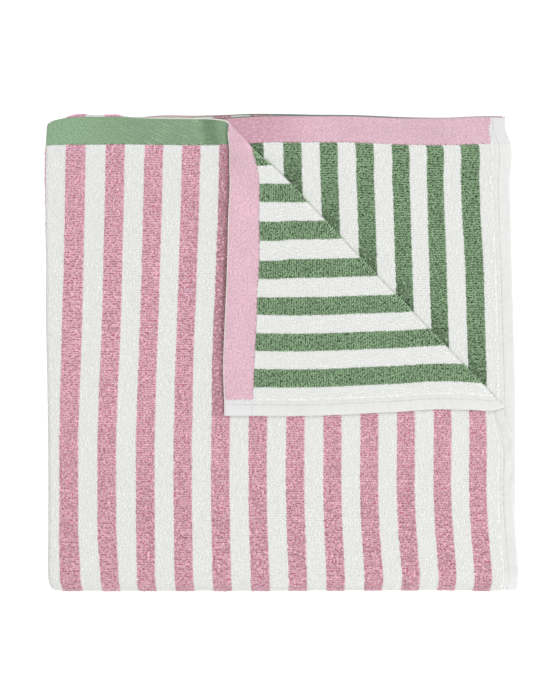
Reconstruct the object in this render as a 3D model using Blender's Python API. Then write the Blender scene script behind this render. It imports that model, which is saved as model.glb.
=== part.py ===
"""A terry bath towel, folded in eight and lying flat, with its top corner turned back.

The towel is one sheet, so it is one solid. It is cut as a flat slab on a grid of u (across the
cloth) and v (along it), and every point of the slab is then carried through the folds in the
order in which the towel was folded: the corner, the lengthwise fold, the three crosswise folds.
"""

import math

import bmesh
import bpy
import numpy as np

# The flat cloth. u = 0 is the side edge and v = 0 the hem that meet at the turned corner.
WIDTH = 0.700
LENGTH = 1.400
TERRY = 0.0030
FLAT_WEAVE = 0.0020
END_BORDER = 0.0198
SIDE_HEM = 0.0110
STEP_WIDTH = 0.0025

# The folded stack. PITCH is from the middle of one sheet to the middle of the next.
PITCH = 0.0036
SHEET_FOLD_RADIUS = PITCH / 2
FOLD_X = -0.1714
FRONT_Y = -0.1632
BACK_Y = 0.1675
HEM_Y = 0.1769

# The turned corner: where its crease meets the hem and the side edge of the upper half, and how
# far the corner leans out of square.
CREASE_ON_HEM = (0.2140, 0.0)
CREASE_ON_SIDE = (0.0, 0.2246)
CREASE_RADIUS = PITCH / 2
CORNER_LEAN = 0.0416

# Along the towel: how far the side edges of the upper and the lower half reach beyond an even
# stack, because the lengthwise fold wanders.
SIDE_EDGES = [
    {"at": 0.000, "upper": 0.0091, "lower": -0.0059},
    {"at": 0.010, "upper": 0.0086, "lower": -0.0052},
    {"at": 0.020, "upper": 0.0081, "lower": -0.0012},
    {"at": 0.050, "upper": 0.0069, "lower": -0.0013},
    {"at": 0.080, "upper": 0.0050, "lower": -0.0009},
    {"at": 0.108, "upper": 0.0023, "lower": -0.0006},
    {"at": 0.135, "upper": -0.0002, "lower": -0.0003},
    {"at": 0.162, "upper": -0.0033, "lower": 0.0000},
    {"at": 0.189, "upper": -0.0042, "lower": 0.0003},
    {"at": 0.208, "upper": -0.0046, "lower": 0.0003},
    {"at": 0.222, "upper": -0.0084, "lower": 0.0002},
    {"at": 0.236, "upper": -0.0034, "lower": 0.0000},
    {"at": 0.286, "upper": -0.0019, "lower": -0.0006},
    {"at": 0.324, "upper": 0.0009, "lower": -0.0010},
    {"at": 0.345, "upper": 0.0025, "lower": -0.0012},
    {"at": 0.420, "upper": -0.0010, "lower": -0.0020},
    {"at": 0.560, "upper": -0.0040, "lower": -0.0034},
    {"at": 0.700, "upper": -0.0076, "lower": -0.0068},
    {"at": 0.840, "upper": -0.0038, "lower": -0.0044},
    {"at": 1.050, "upper": -0.0018, "lower": -0.0024},
    {"at": 1.240, "upper": -0.0046, "lower": -0.0040},
    {"at": 1.400, "upper": -0.0088, "lower": -0.0084},
]

# The hem is pulled back where the lengthwise fold crosses it.
HEM_NOTCH = 0.0070
HEM_NOTCH_REACH = 0.0070
HEM_NOTCH_DEPTH = 0.0100

# From the corner to the crease, the hem and the border's inner edge bow in along the cloth.
CORNER_BOW = [
    {"at": 0.000, "hem": 0.0002, "terry": 0.0019},
    {"at": 0.027, "hem": -0.0006, "terry": 0.0027},
    {"at": 0.057, "hem": 0.0005, "terry": 0.0044},
    {"at": 0.087, "hem": 0.0018, "terry": 0.0055},
    {"at": 0.117, "hem": 0.0028, "terry": 0.0070},
    {"at": 0.139, "hem": 0.0031, "terry": 0.0065},
    {"at": 0.161, "hem": 0.0041, "terry": 0.0067},
    {"at": 0.184, "hem": 0.0041, "terry": 0.0068},
    {"at": 0.193, "hem": 0.0038, "terry": 0.0028},
    {"at": 0.201, "hem": 0.0032, "terry": 0.0008},
    {"at": 0.214, "hem": 0.0000, "terry": 0.0000},
    {"at": 0.230, "hem": 0.0000, "terry": 0.0000},
]
CORNER_BOW_END = 0.090

# The crease gives way a little where the border runs into the terry.
CREASE_DENT = {"x": -0.022, "y": 0.154, "depth": 0.0016, "reach": 0.016}
TOP_SHEET = 7.6 * PITCH

# The crosswise folds: the outer one at the front, the one at the back, the inner one at the
# front. Levels and radii count in pitches; "inner" is the side of the double ply that faces the
# fold's axis.
CROSSWISE_FOLDS = [
    {"y": FRONT_Y, "towards": -1, "level": 7, "climb": -1, "radius": 3, "inner": -1},
    {"y": BACK_Y, "towards": 1, "level": 1, "climb": 1, "radius": 1, "inner": -1},
    {"y": FRONT_Y, "towards": -1, "level": 3, "climb": 1, "radius": 1, "inner": 1},
]
RUN = BACK_Y - FRONT_Y
TOP_RUN = HEM_Y - FRONT_Y
UNDERSIDE = (PITCH - TERRY) / 2
CREST_LEVEL = 4 * PITCH

# How the finished stack drifts sideways from front (negative y) to back.
SIDE_DRIFT = [
    {"at": -0.180, "drift": 0.0000},
    {"at": -0.054, "drift": 0.0000},
    {"at": -0.016, "drift": -0.0007},
    {"at": 0.021, "drift": -0.0014},
    {"at": 0.058, "drift": -0.0020},
    {"at": 0.096, "drift": -0.0026},
    {"at": 0.152, "drift": -0.0026},
    {"at": 0.178, "drift": -0.0014},
]
# How far the back and front edges of the stack move, from left to right: the hems, the fold that
# lies under them at the back, and the rolled front.
EDGES = [
    {"at": -0.175, "hem": 0.0000, "crest": 0.0006, "front": 0.0000},
    {"at": -0.165, "hem": 0.0000, "crest": 0.0028, "front": -0.0008},
    {"at": -0.153, "hem": 0.0000, "crest": 0.0060, "front": -0.0009},
    {"at": -0.138, "hem": 0.0000, "crest": 0.0058, "front": -0.0010},
    {"at": -0.120, "hem": 0.0003, "crest": 0.0044, "front": -0.0010},
    {"at": -0.098, "hem": 0.0000, "crest": 0.0010, "front": -0.0010},
    {"at": -0.040, "hem": 0.0000, "crest": 0.0002, "front": -0.0010},
    {"at": -0.014, "hem": 0.0010, "crest": 0.0002, "front": -0.0010},
    {"at": 0.030, "hem": 0.0012, "crest": 0.0002, "front": -0.0008},
    {"at": 0.052, "hem": 0.0013, "crest": 0.0000, "front": -0.0007},
    {"at": 0.097, "hem": 0.0001, "crest": -0.0008, "front": -0.0005},
    {"at": 0.127, "hem": -0.0003, "crest": -0.0006, "front": -0.0004},
    {"at": 0.150, "hem": 0.0006, "crest": -0.0002, "front": -0.0010},
    {"at": 0.175, "hem": 0.0006, "crest": -0.0006, "front": -0.0008},
]
BACK_REACH = 0.120
FRONT_REACH = 0.090

# The front corners are rounded in, the thin hems lie lower than the terry, and the whole stack
# swells and sinks a little.
FRONT_CORNER_TUCK = 0.0100
HEM_SETTLE = 0.35
SWELL = 0.024
SWELL_WAVES = [
    {"share": 0.6, "along_x": 19, "along_y": 17},
    {"share": 0.4, "along_x": 31, "along_y": -27},
]

# How finely the grid is cut.
PLAIN_CELL = 0.042
CORNER_REACH = 0.275
CREASE_PINCH = 0.014
SHEET_FOLD_CUTS = 6
CREASE_CUTS = 6
CUTS_PER_RADIUS = {1: 6, 3: 8}


def read(table, column, at):
    """A smooth curve through a table's rows."""
    places = np.array([row["at"] for row in table])
    values = np.array([row[column] for row in table])
    slopes = np.gradient(values, places)
    i = np.clip(np.searchsorted(places, at) - 1, 0, len(places) - 2)
    gap = places[i + 1] - places[i]
    t = np.clip((at - places[i]) / gap, 0, 1)
    start = (1 + 2 * t) * (1 - t) ** 2 * values[i] + t * (1 - t) ** 2 * gap * slopes[i]
    end = t * t * (3 - 2 * t) * values[i + 1] + t * t * (t - 1) * gap * slopes[i + 1]
    return start + end


def ramp(value, low, high):
    """0 below low, 1 above high, and smooth between."""
    t = np.clip((value - low) / (high - low), 0, 1)
    return t * t * (3 - 2 * t)


def edge_places(v):
    """Where the two side edges lie across the cloth's own plane, at v along it."""
    return -read(SIDE_EDGES, "upper", v), WIDTH + read(SIDE_EDGES, "lower", v)


def thickness(from_side, from_end):
    """Full in the terry, thinner in the side hems and end borders."""
    terry = ramp(from_side, SIDE_HEM, SIDE_HEM + STEP_WIDTH)
    terry = terry * ramp(from_end, END_BORDER, END_BORDER + STEP_WIDTH)
    return FLAT_WEAVE + (TERRY - FLAT_WEAVE) * terry


def notch(a, v):
    """How far the hem is pulled along the cloth beside the lengthwise fold."""
    from_fold = np.abs(a - WIDTH / 2)
    pulled = np.exp(-np.minimum(v, LENGTH - v) / HEM_NOTCH_DEPTH - from_fold / HEM_NOTCH_REACH)
    return HEM_NOTCH * pulled * np.where(v < LENGTH / 2, 1, -1)


def bow(a, v):
    """How far the hem and the border's edge of the turned corner bend in along the cloth."""
    hem = read(CORNER_BOW, "hem", a)
    terry = read(CORNER_BOW, "terry", a)
    share = ramp(v, 0, END_BORDER)
    return (hem + (terry - hem) * share) * (1 - ramp(v, END_BORDER, CORNER_BOW_END))


def turn(s, n, radius):
    """A sheet bent back over a round axis from s = 0: how far each point reaches, and how high.

    n is the point's own height over the sheet's middle, towards the axis.
    """
    angle = np.clip(s / radius, 0, math.pi)
    straight = np.minimum(s, 0) - np.maximum(s - math.pi * radius, 0)
    return straight + (radius - n) * np.sin(angle), radius - (radius - n) * np.cos(angle)


def crease_frame():
    """The crease's start on the hem, the direction along it, and the one towards the corner."""
    start = np.array(CREASE_ON_HEM)
    along = np.array(CREASE_ON_SIDE) - start
    along = along / np.linalg.norm(along)
    return start, along, np.array((-along[1], along[0]))


def past_crease(a, b):
    start, _, outward = crease_frame()
    return (a - start[0]) * outward[0] + (b - start[1]) * outward[1]


def turn_corner(a, b, n):
    """The corner turned over the crease, onto the face. The crease is the bend's outermost line."""
    start, along, outward = crease_frame()
    b = b + CORNER_LEAN * np.maximum(past_crease(a, b), 0)
    past = past_crease(a, b)
    run = (a - start[0]) * along[0] + (b - start[1]) * along[1]
    bend_start = CREASE_RADIUS + TERRY / 2
    reach, height = turn(past + bend_start, n, CREASE_RADIUS)
    reach = reach - bend_start
    turned_a = start[0] + run * along[0] + reach * outward[0]
    turned_b = start[1] + run * along[1] + reach * outward[1]
    return turned_a, turned_b, height


def fold_lengthwise(a, n):
    """Across and over the cloth, to x and the height over the middle of the double ply."""
    start = WIDTH / 2 - math.pi * SHEET_FOLD_RADIUS / 2
    reach, height = turn(a - start, -n, SHEET_FOLD_RADIUS)
    return FOLD_X - reach, SHEET_FOLD_RADIUS - height


def crosswise_starts():
    """How far along the towel each crosswise fold begins."""
    starts = [TOP_RUN]
    for fold in CROSSWISE_FOLDS[:-1]:
        starts.append(starts[-1] + math.pi * fold["radius"] * PITCH + RUN)
    return starts


def fold_crosswise(b, m):
    """Along the cloth, and the height over the middle of the double ply, to y and z."""
    y = np.zeros_like(b)
    z = np.zeros_like(b)
    for start, fold in zip(crosswise_starts(), CROSSWISE_FOLDS):
        here = (b > start - RUN / 2) | (start == TOP_RUN)
        reach, height = turn(b - start, fold["inner"] * m, fold["radius"] * PITCH)
        y = np.where(here, fold["y"] + fold["towards"] * reach, y)
        z = np.where(here, fold["level"] * PITCH + fold["climb"] * height, z)
    return y, z


def swelling(x, y):
    """How much higher or lower than even the stack is, as a share of its height."""
    waves = [row["share"] * np.sin(row["along_x"] * x + row["along_y"] * y) for row in SWELL_WAVES]
    return SWELL * sum(waves)


def settle(x, y, z):
    """The small unevenness of a stack laid by hand. The underside stays flat."""
    x, y = dent_crease(x, y, z)
    low = 1 - ramp(z, CREST_LEVEL - PITCH / 2, CREST_LEVEL + PITCH / 2)
    back = read(EDGES, "hem", x) * (1 - low) + read(EDGES, "crest", x) * low
    front = read(EDGES, "front", x)
    back_share = ramp(y, BACK_Y - BACK_REACH, BACK_Y)
    front_share = 1 - ramp(y, FRONT_Y, FRONT_Y + FRONT_REACH)
    tuck = FRONT_CORNER_TUCK * (1 - ramp(y, FRONT_Y - CREST_LEVEL, FRONT_Y)) ** 2
    thin = HEM_SETTLE * ramp(y, HEM_Y - END_BORDER, HEM_Y)
    above = np.maximum(z - CREST_LEVEL, 0)
    settled_z = (z - above * thin - UNDERSIDE) * (1 + swelling(x, y))
    settled_x = x * (1 - tuck) + read(SIDE_DRIFT, "drift", y)
    return settled_x, y + back * back_share + front * front_share, settled_z


def dent_crease(x, y, z):
    """The top sheets drawn towards the turned corner, near where the crease leaves the border."""
    distance = np.hypot(x - CREASE_DENT["x"], y - CREASE_DENT["y"]) / CREASE_DENT["reach"]
    depth = CREASE_DENT["depth"] * np.exp(-distance**2) * ramp(z, TOP_SHEET - PITCH, TOP_SHEET)
    return x - depth, y - depth


def folded(a, b, n):
    """Where a point of the flat cloth, n over its middle, ends up."""
    a, b, n = turn_corner(a, b, n)
    x, m = fold_lengthwise(a, n)
    y, z = fold_crosswise(b, m)
    return settle(x, y, z)


def spread(stations, cell):
    """The stations, with even cuts no wider than cell between them."""
    cuts = [stations[0]]
    for near, far in zip(stations, stations[1:]):
        count = max(1, math.ceil((far - near) / cell - 1e-6))
        cuts.extend(near + (far - near) * i / count for i in range(1, count + 1))
    return cuts


def across_cuts(v):
    """The grid's places across the cloth at v, and their distances from the nearer side edge."""
    bend = math.pi * SHEET_FOLD_RADIUS
    start = WIDTH / 2 - bend / 2
    crease = CREASE_ON_HEM[0]
    stations = [0.0, SIDE_HEM, SIDE_HEM + STEP_WIDTH, crease - END_BORDER, crease, start - 0.010, start]
    half = np.array(spread(stations, PLAIN_CELL))
    near_edge, far_edge = edge_places(v)
    near = near_edge + (start - near_edge) * half / start
    far = far_edge + (WIDTH - start - far_edge) * half[::-1] / start
    turned = start + bend * np.arange(1, SHEET_FOLD_CUTS) / SHEET_FOLD_CUTS
    from_side = np.concatenate((half, np.full(len(turned), start), half[::-1]))
    return np.concatenate((near, turned, far)), from_side


def along_cuts():
    crease = CREASE_ON_SIDE[1]
    stations = [0.0, END_BORDER / 2, END_BORDER, END_BORDER + STEP_WIDTH]
    stations += [crease - CREASE_PINCH, crease, crease + CREASE_PINCH, TOP_RUN]
    cuts = spread(stations, PLAIN_CELL)
    for start, fold in zip(crosswise_starts(), CROSSWISE_FOLDS):
        if start > cuts[-1] + PLAIN_CELL:
            cuts.extend(spread([cuts[-1], start], PLAIN_CELL)[1:])
        bend = math.pi * fold["radius"] * PITCH
        count = CUTS_PER_RADIUS[fold["radius"]]
        cuts.extend(start + bend * i / count for i in range(1, count + 1))
    ends = [LENGTH - END_BORDER - STEP_WIDTH, LENGTH - END_BORDER, LENGTH - END_BORDER / 2, LENGTH]
    return cuts + spread([cuts[-1]] + ends, PLAIN_CELL)[1:]


def flat_grid():
    """The flat cloth as one layer of faces, cut along every fold, and its thickness as a layer."""
    bm = bmesh.new()
    thick = bm.verts.layers.float.new("thickness")
    rows = []
    for v in along_cuts():
        across, from_side = across_cuts(v)
        along = v + notch(across, v) + bow(across, v)
        row = [bm.verts.new((a, b, 0)) for a, b in zip(across, along)]
        for vert, value in zip(row, thickness(from_side, min(v, LENGTH - v))):
            vert[thick] = value
        rows.append(row)
    for near, far in zip(rows, rows[1:]):
        for i in range(len(near) - 1):
            bm.faces.new((near[i], near[i + 1], far[i + 1], far[i]))
    cut_crease(bm)
    bmesh.ops.triangulate(bm, faces=bm.faces[:])
    return bm


def cut_crease(bm):
    """Cuts the grid along the turned corner's bend."""
    start, _, outward = crease_frame()
    bend_start = CREASE_RADIUS + TERRY / 2
    for i in range(CREASE_CUTS + 1):
        point = start + outward * (math.pi * CREASE_RADIUS * i / CREASE_CUTS - bend_start)
        corner = [f for f in bm.faces if all(max(v.co.x, v.co.y) < CORNER_REACH for v in f.verts)]
        geometry = list({part for f in corner for part in (*f.verts, *f.edges)}) + corner
        bmesh.ops.bisect_plane(
            bm, geom=geometry, dist=1e-6, plane_co=(*point, 0), plane_no=(*outward, 0)
        )


def towel_mesh():
    bm = flat_grid()
    thick = bm.verts.layers.float["thickness"]
    face_side = list(bm.verts)
    made = bmesh.ops.extrude_face_region(bm, geom=bm.faces[:])
    reverse = [part for part in made["geom"] if isinstance(part, bmesh.types.BMVert)]
    for verts, side in ((face_side, 1), (reverse, -1)):
        flat = np.array([(v.co.x, v.co.y, side * v[thick] / 2) for v in verts])
        for v, place in zip(verts, np.stack(folded(*flat.T), axis=1)):
            v.co = place
    corners = np.array([v.co for v in bm.verts])
    middle = (corners.min(axis=0) + corners.max(axis=0)) / 2
    bmesh.ops.translate(bm, verts=bm.verts, vec=(-middle[0], -middle[1], -corners[:, 2].min()))
    bmesh.ops.recalc_face_normals(bm, faces=bm.faces)
    mesh = bpy.data.meshes.new("towel")
    bm.to_mesh(mesh)
    bm.free()
    return mesh


def cotton():
    material = bpy.data.materials.new("cotton_terry")
    material.use_nodes = True
    shader = material.node_tree.nodes["Principled BSDF"]
    shader.inputs["Base Color"].default_value = (0.80, 0.66, 0.68, 1)
    shader.inputs["Roughness"].default_value = 0.95
    shader.inputs["Metallic"].default_value = 0.0
    return material


def main():
    for old in list(bpy.data.objects):
        bpy.data.objects.remove(old)
    towel = bpy.data.objects.new("towel", towel_mesh())
    towel.data.materials.append(cotton())
    towel.data.shade_smooth()
    towel.data.set_sharp_from_angle(angle=math.radians(40))
    bpy.context.scene.collection.objects.link(towel)


main()
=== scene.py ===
import math

import bmesh
import bpy
import numpy as np
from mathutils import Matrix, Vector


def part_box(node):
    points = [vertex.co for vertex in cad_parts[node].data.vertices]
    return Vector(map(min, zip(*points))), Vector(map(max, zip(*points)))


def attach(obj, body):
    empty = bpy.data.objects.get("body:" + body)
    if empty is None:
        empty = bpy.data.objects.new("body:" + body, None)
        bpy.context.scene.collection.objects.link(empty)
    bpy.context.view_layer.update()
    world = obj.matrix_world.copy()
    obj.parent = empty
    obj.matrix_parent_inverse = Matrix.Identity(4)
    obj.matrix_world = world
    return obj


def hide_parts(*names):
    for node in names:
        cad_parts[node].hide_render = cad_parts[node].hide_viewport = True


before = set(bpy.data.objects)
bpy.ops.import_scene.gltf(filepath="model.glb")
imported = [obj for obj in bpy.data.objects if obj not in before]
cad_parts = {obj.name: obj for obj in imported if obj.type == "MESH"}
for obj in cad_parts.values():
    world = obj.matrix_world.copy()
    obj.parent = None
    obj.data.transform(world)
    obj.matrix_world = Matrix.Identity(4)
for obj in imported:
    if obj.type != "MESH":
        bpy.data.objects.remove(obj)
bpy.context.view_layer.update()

# The looks of a terry bath towel, folded in eight and lying flat, with its top corner turned back.
#
# The cloth is one closed thin sheet, carried through the same folds as the CAD solid. The pile
# stands on it wherever the towel shows: short arched loops of yarn, in rows, each with its own
# turn, lean and tone. Places on the flat cloth are (u, v): across from one side edge, and along
# from one hem. Face A has pink stripes and a green end border, face B green stripes and a pink one.


def table(columns, *rows):
    """Rows of values under named columns."""
    return [dict(zip(columns.split(), row)) for row in rows]


# The flat cloth.
WIDTH = 0.700
LENGTH = 1.400
TERRY = 0.0030
FLAT_WEAVE = 0.0020
END_BORDER = 0.0198
SIDE_HEM = 0.0110
STEP_WIDTH = 0.0025

# The folded stack. PITCH is from the middle of one sheet to the middle of the next.
PITCH = 0.0036
SHEET_FOLD_RADIUS = PITCH / 2
SHEET_BEND = math.pi * SHEET_FOLD_RADIUS
SHEET_BEND_START = WIDTH / 2 - SHEET_BEND / 2
FOLD_X = -0.1714
FRONT_Y = -0.1632
BACK_Y = 0.1675
HEM_Y = 0.1769

# The turned corner.
CREASE_START = np.array((0.2140, 0.0))
CREASE_END = np.array((0.0, 0.2246))
CREASE_LENGTH = np.linalg.norm(CREASE_END - CREASE_START)
CREASE_ALONG = (CREASE_END - CREASE_START) / CREASE_LENGTH
CREASE_OUTWARD = np.array((-CREASE_ALONG[1], CREASE_ALONG[0]))
CREASE_RADIUS = PITCH / 2
BEFORE_CREASE = CREASE_RADIUS + TERRY / 2
CORNER_LEAN = 0.0416
CREASE_PRESS = 0.45
CREASE_PRESS_REACH = 0.014

# Along the towel: how far past the middle of the cloth the lengthwise fold lies, and how far the
# side edges of the upper and the lower half reach beyond an even stack. The tuck draws in only
# the upper half's hem, where the turned corner's crease meets it.
LENGTHWISE_FOLD = table(
    "at fold upper tuck lower",
    (0, 0.0074, 0.0091, 0, -0.0059),
    (0.01, 0.0074, 0.0086, 0, -0.0052),
    (0.02, 0.0074, 0.0081, 0, -0.0012),
    (0.05, 0.0073, 0.0069, 0, -0.0013),
    (0.08, 0.0065, 0.005, 0, -0.0009),
    (0.108, 0.0056, 0.0023, 0, -0.0006),
    (0.135, 0.0048, -0.0002, 0, -0.0003),
    (0.162, 0.0038, -0.0033, 0, 0),
    (0.189, 0.0028, -0.0042, 0, 0.0003),
    (0.208, 0.0022, -0.0028, -0.0018, 0.0003),
    (0.222, 0.0018, -0.0014, -0.007, 0.0002),
    (0.236, 0.0014, -0.0016, -0.0018, 0),
    (0.286, 0.0012, -0.0019, 0, -0.0006),
    (0.324, 0.001, 0.0009, 0, -0.001),
    (0.345, 0.0009, 0.0025, 0, -0.0012),
    (0.42, 0.0004, -0.001, 0, -0.002),
    (0.56, 0.005, -0.004, 0, -0.0034),
    (0.7, 0.0064, -0.0076, 0, -0.0068),
    (0.84, 0.0048, -0.0038, 0, -0.0044),
    (1.05, 0.0012, -0.0018, 0, -0.0024),
    (1.24, 0.0002, -0.0046, 0, -0.004),
    (1.4, -0.0006, -0.0088, 0, -0.0084),
)
TUCK_REACH = 0.026
HEM_NOTCH = 0.0052
HEM_NOTCH_REACH = 0.0065
HEM_NOTCH_DEPTH = 0.0100

# From the corner to the crease, the hem and the border's inner edge bow in along the cloth.
CORNER_BOW = table(
    "at hem terry",
    (0, 0.0002, 0.0019),
    (0.027, -0.0006, 0.0027),
    (0.057, 0.0005, 0.0044),
    (0.087, 0.0018, 0.0055),
    (0.117, 0.0028, 0.007),
    (0.139, 0.0031, 0.0065),
    (0.161, 0.0041, 0.0067),
    (0.176, 0.0041, 0.0066),
    (0.184, 0.0041, 0.0054),
    (0.193, 0.0038, 0.0016),
    (0.201, 0.0034, 0.0004),
    (0.208, 0.0034, 0.0002),
    (0.212, 0.003, 0),
    (0.216, 0.002, 0),
    (0.222, 0.0009, 0),
    (0.23, 0, 0),
)
CORNER_BOW_END = 0.090
CORNER_LIFT = 0.0020
LIFT_STARTS = (0.000, 0.050)
LIFT_ENDS = (0.150, 0.205)
LIFT_REACH = 0.030

# Small creases pressed into the top sheets: each a soft trough, turned from the x axis.
WRINKLES = table(
    "x y turned length width depth",
    (0.165, -0.06, 2.2, 0.006, 0.0016, 0.002),
    (0.169, -0.068, 1.1, 0.005, 0.0015, 0.0022),
    (0.168, -0.077, 2.4, 0.006, 0.0016, 0.002),
    (0.172, -0.087, 1.3, 0.006, 0.0015, 0.0018),
    (0.15, -0.056, 2.7, 0.012, 0.003, 0.0007),
    (0.01, -0.09, 1.5, 0.04, 0.006, 0.0005),
    (-0.115, 0.03, 1.6, 0.05, 0.007, 0.0006),
    (-0.065, -0.12, 1.2, 0.03, 0.006, 0.0005),
    (0.09, 0.09, 0.9, 0.03, 0.006, 0.0006),
)
CREASE_DENTS = table(
    "x y dx dy reach",
    (-0.018, 0.147, -0.0032, -0.0012, 0.014),
    (-0.033, 0.167, -0.0026, 0.0006, 0.011),
)
TOP_SHEET = 7.6 * PITCH

# The crosswise folds: levels and radii count in pitches, and "inner" is the side of the double
# ply that faces the fold's axis.
CROSSWISE_FOLDS = [
    {"y": FRONT_Y, "towards": -1, "level": 7, "climb": -1, "radius": 3, "inner": -1},
    {"y": BACK_Y, "towards": 1, "level": 1, "climb": 1, "radius": 1, "inner": -1},
    {"y": FRONT_Y - 0.0005, "towards": -1, "level": 3, "climb": 1, "radius": 1, "inner": 1},
]
RUN = BACK_Y - FRONT_Y
TOP_RUN = HEM_Y - FRONT_Y
UNDERSIDE = (PITCH - TERRY) / 2
CREST_LEVEL = 4 * PITCH

# How the stack departs from an even outline: its sideways drift towards the hem; how far the hem
# above, the crest of the fold below it and the front lie out of line; and the same for the far hem,
# which shows a little between the hem and the crest.
SIDE_DRIFT = table(
    "at drift",
    (-0.18, 0),
    (-0.054, 0),
    (-0.016, -0.0007),
    (0.021, -0.0014),
    (0.058, -0.002),
    (0.096, -0.0026),
    (0.152, -0.0026),
    (0.178, -0.0014),
)
EDGES = table(
    "at hem crest front",
    (-0.175, 0, 0.0006, -0.0009),
    (-0.165, 0, 0.0028, -0.0017),
    (-0.153, 0, 0.006, -0.0018),
    (-0.138, 0, 0.0058, -0.0019),
    (-0.12, 0.0003, 0.0054, -0.0019),
    (-0.098, 0, 0.001, -0.0019),
    (-0.04, 0, -0.0004, -0.0019),
    (-0.014, 0.0016, -0.0012, -0.0019),
    (0.03, 0.0018, -0.001, -0.0017),
    (0.052, 0.0018, -0.0008, -0.0016),
    (0.097, 0.0001, -0.0008, -0.0014),
    (0.127, -0.0003, -0.0006, -0.0013),
    (0.15, 0.0006, -0.0002, -0.0019),
    (0.175, 0.0006, -0.0006, -0.0017),
)
FAR_HEM = table(
    "at back",
    (-0.18, -0.0004),
    (-0.104, -0.0004),
    (-0.094, 0.0008),
    (-0.06, 0.0013),
    (-0.03, 0.0013),
    (-0.008, 0.0004),
    (0.012, 0),
    (0.18, 0),
)
FAR_HEM_LEVELS = (4.2 * PITCH, 4.5 * PITCH, 6.0 * PITCH, 6.3 * PITCH)
LEFT_BULGE = 0.0007
LEFT_BULGE_AT = (0.145, 0.172)
LEFT_BULGE_TO = (0.030, 0.070)
BACK_REACH = 0.120
FRONT_REACH = 0.090
FRONT_CORNER_TUCK = 0.0100
HEM_SETTLE = 0.35
SWELL = 0.024
SWELL_WAVES = table("share along_x along_y", (0.6, 19, 17), (0.4, 31, -27))

# How far the stripes have crept out of even spacing, on the upper half and on the lower half, from
# the hem on along the cloth.
UPPER_CREEP = table(
    "at at_hem near_hem further front",
    (0, 0, 0, 0, 0),
    (0.028, 0.0003, 0.0003, -0.0009, -0.0013),
    (0.056, -0.0008, -0.0008, -0.0022, -0.0026),
    (0.084, -0.0017, -0.0017, -0.0024, -0.0034),
    (0.112, -0.0028, -0.0014, -0.0028, -0.0036),
    (0.14, -0.0023, -0.001, -0.0029, -0.0031),
    (0.168, -0.002, -0.002, -0.0028, -0.0028),
    (0.196, -0.003, -0.003, -0.0024, -0.0028),
    (0.224, -0.0038, -0.0038, -0.0022, -0.0021),
    (0.252, -0.0038, -0.0038, -0.0017, -0.0018),
    (0.28, -0.0038, -0.0038, -0.0015, -0.0014),
    (0.308, -0.0029, -0.0029, -0.0003, -0.0023),
    (0.336, -0.0013, -0.0013, 0, -0.0014),
    (0.35, 0, 0, 0, 0),
)
UPPER_CHANGES = (
    ("near_hem", (0.032, 0.050)),
    ("further", (0.160, 0.245)),
    ("front", (0.305, 0.345)),
)
LOWER_CREEP = table(
    "at near_hem further far",
    (0.35, 0, 0, 0),
    (0.357, -0.0008, -0.0008, -0.0008),
    (0.368, -0.0004, -0.0004, -0.0004),
    (0.45, 0.0052, 0.007, 0.007),
    (0.504, 0.0068, 0.0086, 0.0086),
    (0.532, 0.0067, 0.0085, 0.0085),
    (0.56, 0.0053, 0.0071, 0.0071),
    (0.588, 0.0038, 0.0056, 0.0056),
    (0.616, 0.0022, 0.004, 0.004),
    (0.644, -0.0004, 0.001, 0.001),
    (0.672, -0.0032, -0.0014, 0),
    (0.7, 0, 0, 0),
)
LOWER_CHANGES = (
    ("further", (0.02, 0.06)),
    ("far", (0.07, 0.11)),
)

# The stripes lie evenly on both sides of the cloth's middle.
STRIPE_PITCH = 0.0280
STRIPE_WIDTH = 0.0138
PLAIN_MARGIN = 0.0150

# How often the searches for a place on the flat cloth are narrowed, the small steps that directions
# and edges are found with, and the room for rounding.
HALVINGS = 18
BOW_ROUNDS = 8
LOOP_PROBE = 0.0002
EDGE_PROBE = 1e-5
ROUNDING = 1e-6

# The sheet under the pile, its rounded rims, and the groove and ridge beside each side hem.
GROUND = 0.0010
RIM = 0.0016
RIM_SHARE = 0.25
STEP_START = 0.0004
HEM_RELIEF = table(
    "at height width",
    (0.003, 0.0001, 0.0016),
    (0.0087, -0.00042, 0.0006),
    (0.0103, 0.00022, 0.0008),
    (0.0118, -0.00045, 0.0006),
)
HEM_LINES = (
    *(0.0, 0.0004, 0.0009, 0.0016, 0.0030, 0.0055, 0.0078, 0.0083, 0.0087, 0.0091, 0.0096),
    *(0.0103, 0.0110, 0.0114, 0.0118, 0.0122, 0.0128),
)
BORDER_LINES = (0.0, 0.0003, 0.0008, 0.0016, 0.0050, 0.0090, 0.0130, 0.0170, 0.0198, 0.0222)
FINE_CELL = 0.0038
PLAIN_CELL = 0.042
FINE_END = 0.385
FINE_END_SHARE = 0.6
BAKE_MARGIN = 0.01
FOLD_APPROACH = 0.004
SHEET_FOLD_CUTS = 8
CREASE_CUTS = 8
CORNER_REACH = 0.275
CUTS_PER_RADIUS = {1: 10, 3: 12}

# The pile: loops of yarn in rows, which run across the cloth.
ROW_PITCH = 0.00177
LOOP_PITCH = 0.00130
LOOP_ROOT = 0.00085
LOOP_HEIGHT = 0.00105
LOOP_SPAN = 0.00165
SPANS = (0.85, 1.2)
RADII = (0.9, 1.15)
LEAN = 0.22
ACROSS_JITTER = 0.35
ALONG_JITTER = 0.09
EDGE_CLEARANCE = 0.00055
PRESSED_HEIGHT = 0.60
# Painted shade beside the turned corner and at its crease's foot; a painted highlight on its crest.
CREASE_SHADE_REACH = 0.009
CREST_WIDTH = 0.0014
CREST_HIGHLIGHT = 0.6
CREST_PALE = 0.6
PAINTED_CREASE_SHADE = 0.8
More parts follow.
